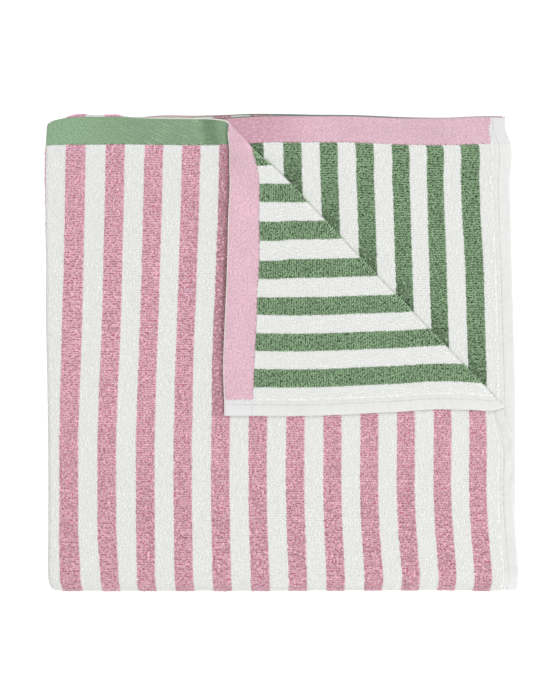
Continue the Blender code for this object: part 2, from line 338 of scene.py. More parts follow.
# Painted shade on face A's loops towards the front, and on along the cloth past it.
FRONT_PAINTED_SHADE = 0.18
FRONT_PAINTED_SHADE_AT = (0.20, 0.30)
TERRY_EDGE_JITTER = 0.12
LOOP_TONE = 0.55
PATCH_TONES = ((0.25, 0.006), (0.20, 0.03))
NOISE_WAVES = 14
NOISE_SIZES = (0.6, 1.7)
NOISE_SWING = 11
STEPS_PER_STATION = 20
LOOPS_PER_PIECE = 16500
SEED = 7

# Where the pile stands: how near the floor a loop may come, and how far past the places that are
# sure to show.
TIP_REACH = 1.5 * LOOP_HEIGHT
YARN_ROOM = LOOP_PITCH / 3
FLOOR_CLEARANCE = 0.0003
COVER_MARGIN = 0.008
BACK_MARGIN = 0.002
SIDE_MARGIN = 0.003
SIDE_SHOWN = 0.8


def read(rows, column, at):
    """A smooth curve through a table's rows."""
    places = np.array([row["at"] for row in rows])
    values = np.array([row[column] for row in rows])
    slopes = np.gradient(values, places)
    i = np.clip(np.searchsorted(places, at) - 1, 0, len(places) - 2)
    gap = places[i + 1] - places[i]
    t = np.clip((at - places[i]) / gap, 0, 1)
    start = (1 + 2 * t) * (1 - t) ** 2 * values[i] + t * (1 - t) ** 2 * gap * slopes[i]
    end = t * t * (3 - 2 * t) * values[i + 1] + t * t * (t - 1) * gap * slopes[i + 1]
    return start + end


def ramp(value, low, high):
    """0 below low, 1 above high, and smooth between."""
    t = np.clip((value - low) / (high - low), 0, 1)
    return t * t * (3 - 2 * t)


def edge_places(v):
    """Where the two side edges lie across the cloth's own plane, at v along it."""
    upper = read(LENGTHWISE_FOLD, "upper", v) + read(LENGTHWISE_FOLD, "tuck", v)
    return -upper, WIDTH + read(LENGTHWISE_FOLD, "lower", v)


def notch(a, v):
    """How far the hem is pulled along the cloth beside the lengthwise fold."""
    from_fold = np.abs(a - WIDTH / 2)
    pulled = np.exp(-np.minimum(v, LENGTH - v) / HEM_NOTCH_DEPTH - from_fold / HEM_NOTCH_REACH)
    return HEM_NOTCH * pulled * np.where(v < LENGTH / 2, 1, -1)


def bow(a, v):
    """How far the hem and the border's edge of the turned corner bend in along the cloth."""
    hem = read(CORNER_BOW, "hem", a)
    terry = read(CORNER_BOW, "terry", a)
    share = ramp(v, 0, END_BORDER)
    return (hem + (terry - hem) * share) * (1 - ramp(v, END_BORDER, CORNER_BOW_END))


def turn(s, n, radius):
    """A sheet bent back over a round axis from s = 0: how far each point reaches, and how high.

    n is the point's own height over the sheet's middle, towards the axis.
    """
    angle = np.clip(s / radius, 0, math.pi)
    straight = np.minimum(s, 0) - np.maximum(s - math.pi * radius, 0)
    return straight + (radius - n) * np.sin(angle), radius - (radius - n) * np.cos(angle)


def from_crease(a, b, direction):
    """How far a place lies from the crease's start in a direction."""
    return (a - CREASE_START[0]) * direction[0] + (b - CREASE_START[1]) * direction[1]


def past_crease(a, b):
    """How far a place lies beyond the crease, towards the corner."""
    return from_crease(a, b, CREASE_OUTWARD)


def at_crease(run, past):
    """The place (a, b) that lies so far along the crease, and so far beyond it."""
    return (CREASE_START[i] + run * CREASE_ALONG[i] + past * CREASE_OUTWARD[i] for i in (0, 1))


def turn_corner(a, b, n):
    """The corner turned over the crease, onto the face. The crease is the bend's outermost line."""
    b = b + CORNER_LEAN * np.maximum(past_crease(a, b), 0)
    reach, height = turn(past_crease(a, b) + BEFORE_CREASE, n, CREASE_RADIUS)
    return *at_crease(from_crease(a, b, CREASE_ALONG), reach - BEFORE_CREASE), height


def fold_lengthwise(a, n):
    """Across and over the cloth, to x and the height over the middle of the double ply."""
    reach, height = turn(a - SHEET_BEND_START, -n, SHEET_FOLD_RADIUS)
    return FOLD_X - reach, SHEET_FOLD_RADIUS - height


def crosswise_starts():
    """How far along the towel each crosswise fold begins."""
    starts = [TOP_RUN]
    for fold, following in zip(CROSSWISE_FOLDS, CROSSWISE_FOLDS[1:]):
        bend = math.pi * fold["radius"] * PITCH
        starts.append(starts[-1] + bend + abs(following["y"] - fold["y"]))
    return starts


def fold_crosswise(b, m):
    """Along the cloth, and the height over the middle of the double ply, to y and z."""
    y = np.zeros_like(b)
    z = np.zeros_like(b)
    for start, fold in zip(crosswise_starts(), CROSSWISE_FOLDS):
        here = (b > start - RUN / 2) | (start == TOP_RUN)
        reach, height = turn(b - start, fold["inner"] * m, fold["radius"] * PITCH)
        y = np.where(here, fold["y"] + fold["towards"] * reach, y)
        z = np.where(here, fold["level"] * PITCH + fold["climb"] * height, z)
    return y, z


def swelling(x, y):
    """How much higher or lower than even the stack is, as a share of its height."""
    waves = [row["share"] * np.sin(row["along_x"] * x + row["along_y"] * y) for row in SWELL_WAVES]
    return SWELL * sum(waves)


def settle(x, y, z):
    """The small unevenness of a stack laid by hand. The underside stays flat."""
    x, y = dent_crease(x, y, z)
    low = 1 - ramp(z, CREST_LEVEL - PITCH / 2, CREST_LEVEL + PITCH / 2)
    back = read(EDGES, "hem", x) * (1 - low) + read(EDGES, "crest", x) * low
    sets_in, full, still_full, gone = FAR_HEM_LEVELS
    far = ramp(z, sets_in, full) * (1 - ramp(z, still_full, gone))
    back = back + read(FAR_HEM, "back", x) * far
    front = read(EDGES, "front", x)
    back_share = ramp(y, BACK_Y - BACK_REACH, BACK_Y)
    front_share = 1 - ramp(y, FRONT_Y, FRONT_Y + FRONT_REACH)
    tuck = FRONT_CORNER_TUCK * (1 - ramp(y, FRONT_Y - CREST_LEVEL, FRONT_Y)) ** 2
    thin = HEM_SETTLE * ramp(y, HEM_Y - END_BORDER, HEM_Y)
    above = np.maximum(z - CREST_LEVEL, 0)
    settled_z = (z - above * thin - UNDERSIDE) * (1 + swelling(x, y))
    settled_z = settled_z - wrinkled(x, y) * ramp(z, TOP_SHEET - PITCH, TOP_SHEET)
    beside_fold = ramp(-x, *LEFT_BULGE_AT) * (1 - ramp(y, *LEFT_BULGE_TO))
    settled_x = x * (1 - tuck) + read(SIDE_DRIFT, "drift", y) - LEFT_BULGE * beside_fold
    return settled_x, y + back * back_share + front * front_share, settled_z


def wrinkled(x, y):
    """How deep the small creases lie below the smooth top."""
    depth = np.zeros_like(x)
    for row in WRINKLES:
        along = (x - row["x"]) * math.cos(row["turned"]) + (y - row["y"]) * math.sin(row["turned"])
        beside = (y - row["y"]) * math.cos(row["turned"]) - (x - row["x"]) * math.sin(row["turned"])
        depth += row["depth"] * np.exp(-((along / row["length"]) ** 2) - (beside / row["width"]) ** 2)
    return depth


def dent_crease(x, y, z):
    """The top sheets drawn a little sideways around the crease's end on the hem."""
    on_top = ramp(z, TOP_SHEET - PITCH, TOP_SHEET)
    moved_x, moved_y = x, y
    for row in CREASE_DENTS:
        distance = np.hypot(x - row["x"], y - row["y"]) / row["reach"]
        share = np.exp(-(distance**2)) * on_top
        moved_x = moved_x + row["dx"] * share
        moved_y = moved_y + row["dy"] * share
    return moved_x, moved_y


def corner_lift(a, b):
    """How far the turned corner's hem stands up from the sheet below it."""
    along = ramp(a, *LIFT_STARTS) * (1 - ramp(a, *LIFT_ENDS))
    return CORNER_LIFT * along * (1 - ramp(b, 0, LIFT_REACH)) * (past_crease(a, b) > 0)


def folded(a, b, n):
    """Where a point of the flat cloth, n over its middle, ends up."""
    lift = corner_lift(a, b)
    a, b, n = turn_corner(a, b, n)
    x, m = fold_lengthwise(a, n)
    beside_crease = 1 - ramp(-past_crease(a, b), 0, CREASE_PRESS_REACH)
    m = m - CREASE_PRESS * np.maximum(m, 0) * np.where(a < WIDTH / 2, beside_crease, 0)
    y, z = fold_crosswise(b, m)
    x, y, z = settle(x, y, z)
    return np.stack((x, y, z + lift), axis=-1)


def creep(rows, u, v, first, *changes):
    """The creep at (u, v): a table's first column, then each next one from where it sets in."""
    moved = read(rows, first, u)
    for column, reach in changes:
        moved = moved + (read(rows, column, u) - moved) * ramp(v, *reach)
    return moved


def across_from_cloth(u, v):
    """Where a place u across the cloth lies across the folding plane."""
    _, far_edge = edge_places(v)
    near_edge = -read(LENGTHWISE_FOLD, "upper", v)
    middle = WIDTH / 2 - read(LENGTHWISE_FOLD, "fold", v)
    upper_creep = creep(UPPER_CREEP, u, v, "at_hem", *UPPER_CHANGES)
    lower_creep = creep(LOWER_CREEP, u, v, "near_hem", *LOWER_CHANGES)
    tuck = read(LENGTHWISE_FOLD, "tuck", v) * (1 - ramp(u, 0, TUCK_REACH))
    share = u / (WIDTH / 2)
    upper = near_edge + (middle - near_edge) * share + upper_creep - tuck
    lower = middle + (far_edge - middle) * (share - 1) + lower_creep
    return np.where(u < WIDTH / 2, upper, lower)


def cloth_from_across(a, v):
    """The place u across the cloth of a place across the folding plane, found by halving."""
    low = np.zeros_like(a)
    high = np.full_like(a, WIDTH)
    for _ in range(HALVINGS):
        middle = (low + high) / 2
        beyond = across_from_cloth(middle, v) > a
        high = np.where(beyond, middle, high)
        low = np.where(beyond, low, middle)
    return (low + high) / 2


def cloth_from_along(a, b):
    """The place v along the cloth, without the pull and the bow at the hems."""
    v = b
    for _ in range(BOW_ROUNDS):
        v = b - notch(a, v) - bow(a, v)
    return np.clip(v, 0, LENGTH)


def from_stripe(u):
    """How far u lies from the middle of the nearest stripe, or half a pitch where there is none."""
    stripe = np.abs((u - WIDTH / 2) / STRIPE_PITCH % 1 - 0.5) * STRIPE_PITCH
    return np.where(np.minimum(u, WIDTH - u) < PLAIN_MARGIN, STRIPE_PITCH / 2, stripe)


def under_corner(a, b):
    """For a place on the upper half: how far under the turned corner it lies, from its two edges."""
    past = past_crease(a, b)
    mirrored_a = a - 2 * past * CREASE_OUTWARD[0]
    mirrored_b = b - 2 * past * CREASE_OUTWARD[1]
    near_edge, _ = edge_places(np.clip(mirrored_b, 0, LENGTH))
    return mirrored_a - near_edge, mirrored_b


def corner_cover(a, b):
    """How far inside the turned corner's outline a place on the upper half lies."""
    return np.minimum(*under_corner(a, b))


def crease_shade_and_highlight(a, b, face):
    """Painted shade on the pile by the turned corner's hem and its crease's foot, 0 to 1; below 0, a
    painted highlight on the crease's crest.
    """
    if face > 0:
        from_side, from_hem = under_corner(a, b)
        beside_hem = np.exp(-np.maximum(-from_hem, 0) / CREASE_SHADE_REACH) * (from_side > 0)
        return np.where(past_crease(a, b) < 0, beside_hem, 0)
    at_foot = np.exp(-np.abs(past_crease(WIDTH - a, b)) / CREASE_SHADE_REACH)
    at_crest = np.exp(-((past_crease(a, b) / CREST_WIDTH) ** 2))
    return np.where(a > WIDTH / 2, at_foot, -CREST_HIGHLIGHT * at_crest)


def shown_on_a(a, b):
    """True where face A can be seen: the top, the rolled front, the folds at the left and back."""
    front_start, back_start, _ = crosswise_starts()
    side_end = SHEET_BEND_START + SHEET_BEND * SIDE_SHOWN
    top = (b < front_start) & (past_crease(a, b) < 0) & (corner_cover(a, b) < COVER_MARGIN)
    front_bend = CROSSWISE_FOLDS[0]["radius"] * math.pi * PITCH
    front = (b >= front_start) & (b < front_start + front_bend)
    half_bend = math.pi * PITCH / 2
    back = np.abs(b - back_start - half_bend) < half_bend + BACK_MARGIN
    side = (a > SHEET_BEND_START - SIDE_MARGIN) & (a < side_end)
    return ((a < side_end) & (top | front | back)) | side


def shown_on_b(a, b):
    """True where face B can be seen: on the turned corner, and where that leaves the sheet below."""
    corner = (past_crease(a, b) > -CREASE_RADIUS) & (a < WIDTH / 2)
    bared = past_crease(WIDTH - a, b) > -COVER_MARGIN
    return corner | (bared & (a > WIDTH / 2))


def beside_stripe(u):
    """How far loops near a stripe's edge move across the cloth, so that the edge runs straight."""
    past = from_stripe(u) - STRIPE_WIDTH / 2
    outward = np.sign(from_stripe(u + EDGE_PROBE) - from_stripe(u - EDGE_PROBE))
    return outward * np.sign(past) * np.maximum(EDGE_CLEARANCE - np.abs(past), 0)


def from_edges(u, v):
    return np.minimum(u, WIDTH - u), np.minimum(v, LENGTH - v)


def in_terry(u, v):
    """How fully a place lies in the terry, 0 to 1, rather than in a hem or border."""
    from_side, from_end = from_edges(u, v)
    side_share = ramp(from_side, SIDE_HEM + STEP_START, SIDE_HEM + STEP_WIDTH)
    return side_share * ramp(from_end, END_BORDER, END_BORDER + STEP_WIDTH)


def hem_relief(from_side):
    """The stitched grooves along a side hem, and the swollen cloth beside them."""
    relief = np.zeros_like(from_side)
    for row in HEM_RELIEF:
        relief += row["height"] * np.exp(-(((from_side - row["at"]) / row["width"]) ** 2))
    return relief


def half_thickness(u, v, shown):
    """From the sheet's middle to its face. Where the pile stands, only the ground weave."""
    from_side, from_end = from_edges(u, v)
    flat = FLAT_WEAVE / 2 + hem_relief(from_side)
    terry = np.where(shown, GROUND, TERRY / 2)
    share = in_terry(u, v)
    full = flat * (1 - share) + terry * share
    rim = np.clip(np.minimum(from_side, from_end) / RIM, 0, 1)
    return full * (RIM_SHARE + (1 - RIM_SHARE) * np.sqrt(1 - (1 - rim) ** 2))


def spread(stations, cell):
    """The stations, with even cuts no wider than cell between them."""
    cuts = [stations[0]]
    for near, far in zip(stations, stations[1:]):
        count = max(1, math.ceil((far - near) / cell - ROUNDING))
        cuts.extend(near + (far - near) * i / count for i in range(1, count + 1))
    return cuts


def across_cuts(v):
    """The sheet's places across the folding plane at v."""
    start = SHEET_BEND_START
    stations = [*HEM_LINES, SIDE_HEM + STEP_WIDTH, start - FOLD_APPROACH, start]
    half = np.array(spread(stations, FINE_CELL))
    near_edge, far_edge = edge_places(v)
    near = near_edge + (start - near_edge) * half / start
    far = far_edge + (WIDTH - start - far_edge) * half[::-1] / start
    turned = start + SHEET_BEND * np.arange(1, SHEET_FOLD_CUTS) / SHEET_FOLD_CUTS
    return np.concatenate((near, turned, far))


def along_cuts():
    cuts = spread([*BORDER_LINES, TOP_RUN], FINE_CELL)
    for start, fold in zip(crosswise_starts(), CROSSWISE_FOLDS):
        if start > cuts[-1] + FINE_CELL:
            cuts.extend(spread([cuts[-1], start], PLAIN_CELL)[1:])
        bend = math.pi * fold["radius"] * PITCH
        count = CUTS_PER_RADIUS[fold["radius"]]
        cuts.extend(start + bend * i / count for i in range(1, count + 1))
    ends = [LENGTH - line for line in reversed(BORDER_LINES)]
    return cuts + spread([cuts[-1], *ends], PLAIN_CELL)[1:]


def flat_sheet():
    """The flat cloth as places (a, b) and faces, cut along the turned corner's bend."""
    rows = []
    for v in along_cuts():
        across = across_cuts(v)
        along = v + notch(across, v) + bow(across, v)
        rows.append(np.stack((across, along, np.zeros_like(across)), axis=1))
    count = len(rows[0])
    corner = np.arange(len(rows) - 1)[:, None] * count + np.arange(count - 1)[None, :]
    quads = np.stack((corner, corner + 1, corner + count + 1, corner + count), axis=-1)
    mesh = bpy.data.meshes.new("flat")
    mesh.from_pydata(np.concatenate(rows).tolist(), [], quads.reshape(-1, 4).tolist())
    bm = bmesh.new()
    bm.from_mesh(mesh)
    bpy.data.meshes.remove(mesh)
    cut_crease(bm)
    bm.verts.index_update()
    places = np.array([v.co[:2] for v in bm.verts])
    faces = [[v.index for v in f.verts] for f in bm.faces]
    rim = [tuple(v.index for v in e.verts) for e in bm.edges if e.is_boundary]
    bm.free()
    turned = {edge for face in faces for edge in zip(face, [*face[1:], face[0]])}
    return places, faces, [edge if edge in turned else edge[::-1] for edge in rim]


def cut_crease(bm):
    """Cuts the grid along the turned corner's bend."""
    normal = (*CREASE_OUTWARD, 0)
    for i in range(CREASE_CUTS + 1):
        offset = math.pi * CREASE_RADIUS * i / CREASE_CUTS - BEFORE_CREASE
        point = (*(CREASE_START + CREASE_OUTWARD * offset), 0)
        near = []
        for face in bm.faces:
            middle = face.calc_center_median()
            gap = abs(past_crease(middle.x, middle.y) - offset)
            if gap < 2 * FINE_CELL and max(middle.x, middle.y) < CORNER_REACH:
                near.append(face)
        parts = list({part for f in near for part in (*f.verts, *f.edges)}) + near
        bmesh.ops.bisect_plane(bm, geom=parts, dist=ROUNDING, plane_co=point, plane_no=normal)


def cloth_mesh():
    """The closed sheet, folded, with its places on the flat cloth as a UV map."""
    places, faces, rim = flat_sheet()
    a, b = places.T
    v = cloth_from_along(a, b)
    u = cloth_from_across(a, v)
    over = half_thickness(u, v, shown_on_a(a, b))
    under = half_thickness(u, v, shown_on_b(a, b))
    points = np.concatenate((folded(a, b, over), folded(a, b, -under)))
    count = len(places)
    back_faces = [[i + count for i in reversed(face)] for face in faces]
    rim_faces = [[j, i, i + count, j + count] for i, j in rim]
    all_faces = [*faces, *back_faces, *rim_faces]
    mesh = bpy.data.meshes.new("towel_cloth")
    mesh.from_pydata(points.tolist(), [], all_faces)
    mesh.polygons.foreach_set("use_smooth", np.ones(len(all_faces), dtype=bool))
    side = np.repeat((0, 1, 0), (len(faces), len(back_faces), len(rim_faces))).astype(np.int32)
    mesh.polygons.foreach_set("material_index", side)
    corners = [i for face in all_faces for i in face]
    flat = np.concatenate((np.stack((u, v), axis=1),) * 2)[corners]
    add_uv(mesh, "cloth", flat)
    add_uv(mesh, "OFBake", bake_places(flat, np.repeat(side, [len(face) for face in all_faces])))
    mesh.update()
    return mesh


def bake_places(flat, side):
    """Both faces of the cloth side by side, with more room for the end that shows."""
    u, v = flat.T
    past = (v - FINE_END) / (LENGTH - FINE_END)
    hidden = FINE_END_SHARE + past * (1 - FINE_END_SHARE)
    along = np.where(v < FINE_END, v / FINE_END * FINE_END_SHARE, hidden)
    room = 1 - 2 * BAKE_MARGIN
    across = (u / WIDTH * room + BAKE_MARGIN + side) / 2
    return np.stack((across, along * room + BAKE_MARGIN), axis=1)


def add_uv(mesh, name, values):
    layer = mesh.uv_layers.new(name=name, do_init=False)
    layer.uv.foreach_set("vector", values.astype(np.float32).ravel())


def even_stations(start, end, pitch, stretches):
    """Places from start to end, a pitch apart on the folded cloth's outer face.

    stretches lists (from, to, how much longer the outer face is there).
    """
    step = pitch / STEPS_PER_STATION
    fine = np.arange(start, end, step)
    rate = np.ones_like(fine)
    for low, high, longer in stretches:
        rate[(fine > low) & (fine < high)] = longer
    length = np.concatenate(([0], np.cumsum(rate[:-1]) * step))
    wanted = np.arange(pitch / 2, length[-1], pitch)
    return np.interp(wanted, length, fine)


def jittered(across, along, rng):
    """The crossings of the stations, each moved a little, and each row shifted along itself."""
    a, b = np.meshgrid(across, along)
    row_shift = rng.uniform(-0.5, 0.5, (len(along), 1))
    a = a + (row_shift + rng.uniform(-ACROSS_JITTER, ACROSS_JITTER, a.shape)) * LOOP_PITCH
    b = b + rng.uniform(-ALONG_JITTER, ALONG_JITTER, b.shape) * ROW_PITCH
    return a.ravel(), b.ravel()


def roots_on_a(rng):
    """Places (a, b) of the loops on face A."""
    bend_end = SHEET_BEND_START + SHEET_BEND
    outer = 1 + (TERRY / 2) / SHEET_FOLD_RADIUS
    across = even_stations(0, bend_end, LOOP_PITCH, [(SHEET_BEND_START, bend_end, outer)])
    bends = []
    for start, fold in list(zip(crosswise_starts(), CROSSWISE_FOLDS))[:2]:
        radius = fold["radius"] * PITCH
        outer = 1 + (SHEET_FOLD_RADIUS + TERRY / 2) / radius
        bends.append((start, start + math.pi * radius, outer))
    along = even_stations(END_BORDER, LENGTH - END_BORDER, ROW_PITCH, bends)
    a, b = jittered(across, along, rng)
    shown = shown_on_a(a, b)
    return a[shown], b[shown]


def roots_on_b(rng):
    """Places (a, b) of the loops on face B: the flat parts, then the crease's bend."""
    low = -BEFORE_CREASE
    high = low + math.pi * CREASE_RADIUS
    a, b = jittered(np.arange(0, WIDTH, LOOP_PITCH), np.arange(0, CORNER_REACH, ROW_PITCH), rng)
    lower = a > WIDTH / 2
    flat = shown_on_b(a, b) & (lower | (past_crease(a, b) > high))
    outer = 1 + (TERRY / 2) / CREASE_RADIUS
    across_bend = np.arange(low, high, LOOP_PITCH / outer)
    past, run = jittered(across_bend, np.arange(0, CREASE_LENGTH, ROW_PITCH), rng)
    bent_a, bent_b = at_crease(run, past)
    return np.concatenate((a[flat], bent_a)), np.concatenate((b[flat], bent_b))


def unit(vectors):
    return vectors / np.linalg.norm(vectors, axis=1, keepdims=True)


def loop_frames(a, b, n):
    """The places of the loops' roots, with the directions across, along and out of the face."""
    step = LOOP_PROBE
    place = folded(a, b, n)
    across = unit(folded(a + step, b, n) - folded(a - step, b, n))
    along = folded(a, b + step, n) - folded(a, b - step, n)
    along = unit(along - across * (along * across).sum(axis=1, keepdims=True))
    return place, across, along, unit(folded(a, b, n + np.sign(n) * step) - place)


def above_floor(frames):
    """True for the loops whose tips stay above what the towel rests on."""
    place, _, _, out = frames
    tip = place[:, 2] + np.minimum(out[:, 2], 0) * TIP_REACH - YARN_ROOM
    return tip > FLOOR_CLEARANCE


# One loop as a half tube over an arch: how far along (of its span) and up (of its height) each
# ring lies, how much further out (of the yarn's radius) and up (of the height) its ridge is, and
# how far up the yarn it counts as.
ARCH = table(
    "along up ridge_out ridge_up climb",
    (-0.5, -0.15, 0.3, 0, 0),
    (-0.22, 0.72, 0.12, 0.3, 0.9),
    (0.22, 0.72, 0.12, 0.3, 0.9),
    (0.5, -0.15, 0.3, 0, 0),
)

# Each loop's own small patch in the UV map: its tone across, and the climb up the yarn, from the
# foot, where the root's colour (painted shade; painted light on the white yarn) is, to the top, from
# which it is all the tip's. The tube's sides climb less than its ridge, so take more of that colour.
YARN_FOOT = 0.45
YARN_TOP = 0.54
YARN_RISE = 0.1
SIDE_CLIMB = 0.75
TONE_MARGIN = 0.05
TONE_OFFSETS = (-0.012, 0.0, 0.012)
CLIMB_OFFSETS = (0.004, 0.0, -0.004)


def pile_mesh(name, frames, tones, dye, rng):
    """Loops of yarn at the frames, as one mesh, with a UV map of each yarn's tone and height."""
    place, across, along, out = frames
    count = len(place)
    look = YARNS[dye]
    angle = rng.normal(0, look["turn"], count)
    pressed = PRESSED_HEIGHT + (1 - PRESSED_HEIGHT) * np.clip(out[:, 2], 0, 1)
    height = look["height"] * rng.uniform(1 - look["uneven"], 1 + look["uneven"], count)
    height = LOOP_HEIGHT * height * pressed
    span = LOOP_SPAN * rng.uniform(*SPANS, count)
    radius = look["radius"] * rng.uniform(*RADII, count)
    lean = rng.normal(0, LEAN, (count, 2)) * LOOP_PITCH
    forward = across * np.cos(angle)[:, None] + along * np.sin(angle)[:, None]
    sideways = along * np.cos(angle)[:, None] - across * np.sin(angle)[:, None]
    points, yarn = [], []
    for row in ARCH:
        up = row["up"]
        leaned = (across * lean[:, :1] + along * lean[:, 1:]) * max(up, 0)
        core = place + forward * (row["along"] * span)[:, None] + leaned
        core = core + out * (up * height)[:, None]
        way = np.sign(row["along"])
        ridge = core + forward * (way * row["ridge_out"] * radius)[:, None]
        ridge = ridge + out * (row["ridge_up"] * height)[:, None]
        points += [core - sideways * radius[:, None], ridge, core + sideways * radius[:, None]]
        yarn += [row["climb"] * SIDE_CLIMB, row["climb"], row["climb"] * SIDE_CLIMB]
    mesh, faces = quad_mesh(name, np.stack(points, axis=1), loop_quads())
    tone = tones[:, None] * (1 - 2 * TONE_MARGIN) + TONE_MARGIN + np.tile(TONE_OFFSETS, len(ARCH))
    climb = YARN_FOOT + YARN_RISE * np.array(yarn) + np.tile(CLIMB_OFFSETS, len(ARCH))
    uv = np.stack((tone, np.broadcast_to(climb, tone.shape)), axis=-1).reshape(-1, 2)
    add_uv(mesh, "OFBake", uv[faces.ravel()])
    mesh.update(calc_edges=True)
    mesh.validate()
    return mesh


def loop_quads():
    """The quads of one loop, with three points to each row of ARCH."""
    firsts = [ring * 3 + side for ring in range(len(ARCH) - 1) for side in (0, 1)]
    return np.array([(first, first + 3, first + 4, first + 1) for first in firsts])


def quad_mesh(name, points, quads):
    """One smooth mesh of many copies of the quads, each copy with its own row of points."""
    copies = np.arange(len(points))[:, None, None] * points.shape[1]
    faces = (copies + quads[None]).reshape(-1, 4)
    mesh = bpy.data.meshes.new(name)
    mesh.vertices.add(points.size // 3)
    mesh.vertices.foreach_set("co", points.astype(np.float32).ravel())
    mesh.loops.add(faces.size)
    mesh.loops.foreach_set("vertex_index", faces.astype(np.int32).ravel())
    mesh.polygons.add(len(faces))
    mesh.polygons.foreach_set("loop_start", np.arange(0, faces.size, 4, dtype=np.int32))
    mesh.polygons.foreach_set("use_smooth", np.ones(len(faces), dtype=bool))
    return mesh, faces


def soft_noise(x, y, size, rng):
    """A smooth field of hills about size wide, between 0 and 1, from a few turned waves."""
    field = np.zeros_like(x)
    for _ in range(NOISE_WAVES):
        angle = rng.uniform(0, math.pi)
        wave = rng.uniform(*NOISE_SIZES) * 2 * math.pi / size
        phase = rng.uniform(0, 2 * math.pi)
        field += np.sin(wave * (x * math.cos(angle) + y * math.sin(angle)) + phase)
    return np.clip(0.5 + field / NOISE_SWING, 0, 1)


COTTON = {"Sheen Roughness": 0.6, "Specular IOR Level": 0.25}
CLOTH_LOOK = {"Roughness": 0.9, "Sheen Weight": 0.25, **COTTON}
YARN_LOOK = {"Roughness": 0.92, "Sheen Weight": 0.3, **COTTON}

# The yarns: their colours at the tips and at the roots, the root's colour being painted shade
# between the loops (on the white yarn, painted light), the dullest and the brightest loop's share
# of them, and how thick, tall, uneven, sparse and turned the loops are.
YARNS = {
    "pink": {
        "tip": (0.98, 0.61, 0.73), "root": (0.84, 0.27, 0.35), "tones": (0.50, 1.17),
        "radius": 0.00038, "height": 1.12, "uneven": 0.34, "missing": 0.10, "turn": 0.45,
    },
    "green": {
        "tip": (0.325, 0.497, 0.284), "root": (0.05, 0.10, 0.045), "tones": (0.34, 1.38),
        "radius": 0.00039, "height": 1.12, "uneven": 0.34, "missing": 0.07, "turn": 0.45,
    },
    "white": {
        "tip": (0.775, 0.785, 0.762), "root": (0.93, 0.935, 0.91), "tones": (0.98, 1.01),
        "radius": 0.00068, "height": 0.52, "uneven": 0.05, "missing": 0.0, "turn": 0.14,
    },
}

# The end borders, with places across the cloth: the middle of each duskier band, painted shade, and
# half its width, where the border turns paler, painted light, and over what width its selvedge fades
# out.
BORDERS = {
    "pink": {
        "lit": (0.935, 0.600, 0.712), "painted_shade": (0.70, 0.35, 0.46), "depth": 1.25, "streaks": 0.25,
        "shade_bands": ((0.500, 0.052),), "painted_light_end": (0.690, 0.760), "selvedge_fade": 0.001,
    },
    "green": {
        "lit": (0.285, 0.447, 0.274), "painted_shade": (0.10, 0.20, 0.09), "depth": 1.0, "streaks": 0.6,
        "shade_bands": ((0.2386, 0.0088), (0.2175, 0.0040)), "painted_light_end": (0.290, 0.348),
        "selvedge_fade": 0.030,
    },
}
WEAVE_SHARES = {"ribs": 0.45, "mottle": 0.25, "clouds": 0.30}
WEAVE_SPREAD = (0.33, 0.67)
WEAVE_TONES = (0.91, 1.07)
WEAVE_CONTRAST = 0.42
WEAVE_SHADE = 0.45
# The slanting streaks are painted highlights along the weave; beside the crease, along a wrinkle.
STREAK_SLOPE = (0.91, 0.42)
STREAK_PATCHES = 0.5
STREAK_LIGHT = 1.6
CREASE_STREAKS = 0.266
# The border's paler end is painted light; the duskier bands below are painted shade.
PAINTED_END_LIGHT = 1.2
DUSKY_SLANT = 0.25
DUSKY_WAVER = 0.012
DUSKY_EDGES = (1.2, 0.1)
DUSKY_SHARES = (0.22, 0.50)
RIB_PITCH = 0.0009
THREAD_PITCH = 0.0008
THREAD_RELIEF = 0.25
# Dashes of painted shade along the border's edge, under the first row of loops.
EDGE_DASHES = 0.55
EDGE_SHADE = 0.35
TOOTH_PITCH = 0.0024
TOOTH_DEPTH = 0.0008
TOOTH_WAVE = 0.6
TOOTH_UNEVEN = 4.5
BORDER_END_SLANT = (0.0025, 0.187)

# The terry's ground, the side hems, and the edges of the end hems.
JAG = 0.0022
STRIPE_BLUR = 0.012
# The ground between the loops is painted in shade: the roots' colour, made darker still.
GROUND_PAINTED_SHADE = 0.62
GROUND_LIGHT = 0.95
LOOP_RELIEF = 3.0
RELIEF_DEPTH = 0.0003
HEM_CONTRAST = 0.14
HEM_TONES = ((0.885, 0.895, 0.880), (0.92, 0.925, 0.91))
HEM_END_TONE = (0.875, 0.865, 0.890)
HEM_END_SHARE = 0.6
HEM_WAVER = 0.0009
STITCH_TONE = (0.66, 0.665, 0.64)
# Stitching along the side hem, painted dark also as the shade in its stitched grooves.
STITCH_AND_GROOVE_SHADE_LINES = table(
    "at width share",
    (0.0083, 0.0006, 0.75),
    (0.0097, 0.0005, 0.45),
    (0.0115, 0.0006, 0.35),
)
STITCH_CORE = 0.3
STITCH_BREAKS = 0.6
END_LINE = 0.4
SELVEDGE = (0.90, 0.87, 0.80)
SELVEDGE_END = 0.275
FAR_HEM_TONE = (0.72, 0.69, 0.64)
# The lower half's rim: the borders' own green and pink, greyed and darkened as painted shade.
LOWER_RIM_IN_PAINTED_SHADE = ((0.20, 0.235, 0.19), (0.66, 0.52, 0.53))

